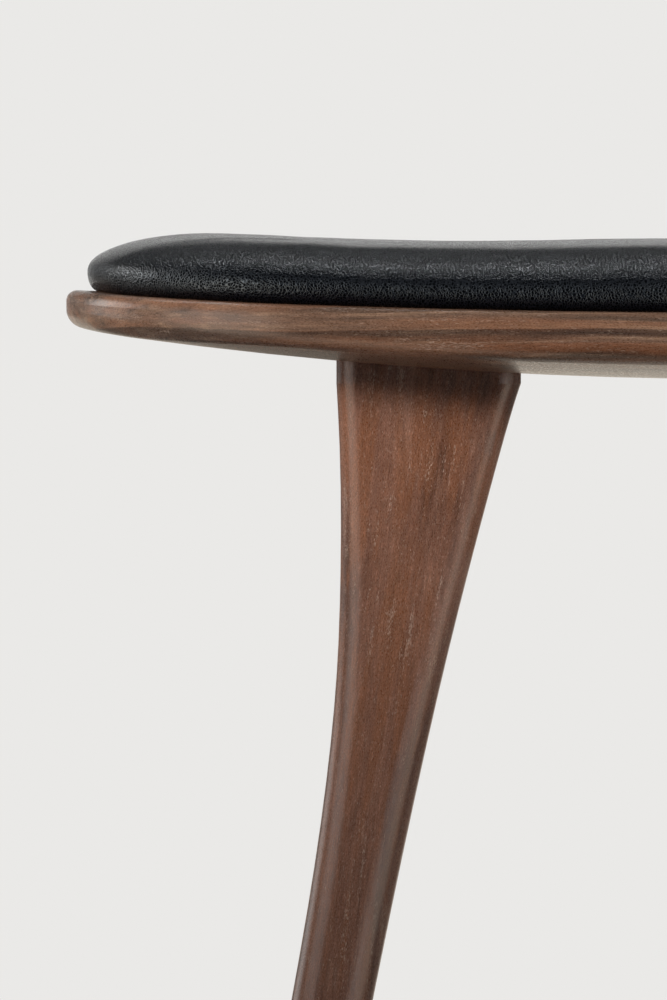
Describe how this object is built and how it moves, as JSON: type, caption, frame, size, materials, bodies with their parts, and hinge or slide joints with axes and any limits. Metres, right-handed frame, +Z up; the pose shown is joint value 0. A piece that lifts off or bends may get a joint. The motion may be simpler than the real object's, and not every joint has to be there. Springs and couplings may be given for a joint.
{
  "type": "stool",
  "caption": "Low stool with a saddle-shaped hardwood seat, carved splayed legs and a thin upholstered leather seat pad.",
  "frame": {"origin": "on the floor, under the middle of the seat", "axes": "+X along the seat's length, +Y from front to back, +Z up"},
  "size_m": [0.5, 0.36, 0.4552],
  "materials": {
    "seat_wood": "open-pored brown stain, satin",
    "leg_wood": "open-pored brown stain, satin",
    "joint_wood": "bare beech",
    "pad_leather": "fine pebbled grain, semi-matt",
    "pad_foam": "open-celled foam",
    "pad_plywood": "bare birch plywood",
    "pad_lining": "thin non-woven cloth",
    "bolt_steel": "zinc plated",
    "insert_brass": "turned",
    "glide_nylon": "moulded",
    "glide_felt": "pressed felt"
  },
  "bodies": {
    "root": {"front_seat_board": "seat_wood", "middle_seat_board": "seat_wood", "rear_seat_board": "seat_wood", "front_loose_tongue": "joint_wood", "rear_loose_tongue": "joint_wood", "front_left_leg": "leg_wood", "front_left_leg_dowels": "joint_wood", "front_left_leg_insert": "insert_brass", "front_left_leg_bolt": "bolt_steel", "front_left_bolt_washer": "bolt_steel", "front_left_glide": "glide_nylon", "front_left_glide_felt": "glide_felt", "front_right_leg": "leg_wood", "front_right_leg_dowels": "joint_wood", "front_right_leg_insert": "insert_brass", "front_right_leg_bolt": "bolt_steel", "front_right_bolt_washer": "bolt_steel", "front_right_glide": "glide_nylon", "front_right_glide_felt": "glide_felt", "rear_left_leg": "leg_wood", "rear_left_leg_dowels": "joint_wood", "rear_left_leg_insert": "insert_brass", "rear_left_leg_bolt": "bolt_steel", "rear_left_bolt_washer": "bolt_steel", "rear_left_glide": "glide_nylon", "rear_left_glide_felt": "glide_felt", "rear_right_leg": "leg_wood", "rear_right_leg_dowels": "joint_wood", "rear_right_leg_insert": "insert_brass", "rear_right_leg_bolt": "bolt_steel", "rear_right_bolt_washer": "bolt_steel", "rear_right_glide": "glide_nylon", "rear_right_glide_felt": "glide_felt", "glide_screws": "bolt_steel", "leather_cover": "pad_leather", "pad_foam": "pad_foam", "pad_board": "pad_plywood", "pad_lining": "pad_lining", "pad_staples": "bolt_steel", "tee_nuts": "bolt_steel", "pad_screws": "bolt_steel", "pad_screw_washers": "bolt_steel"}
  },
  "joints": []
}
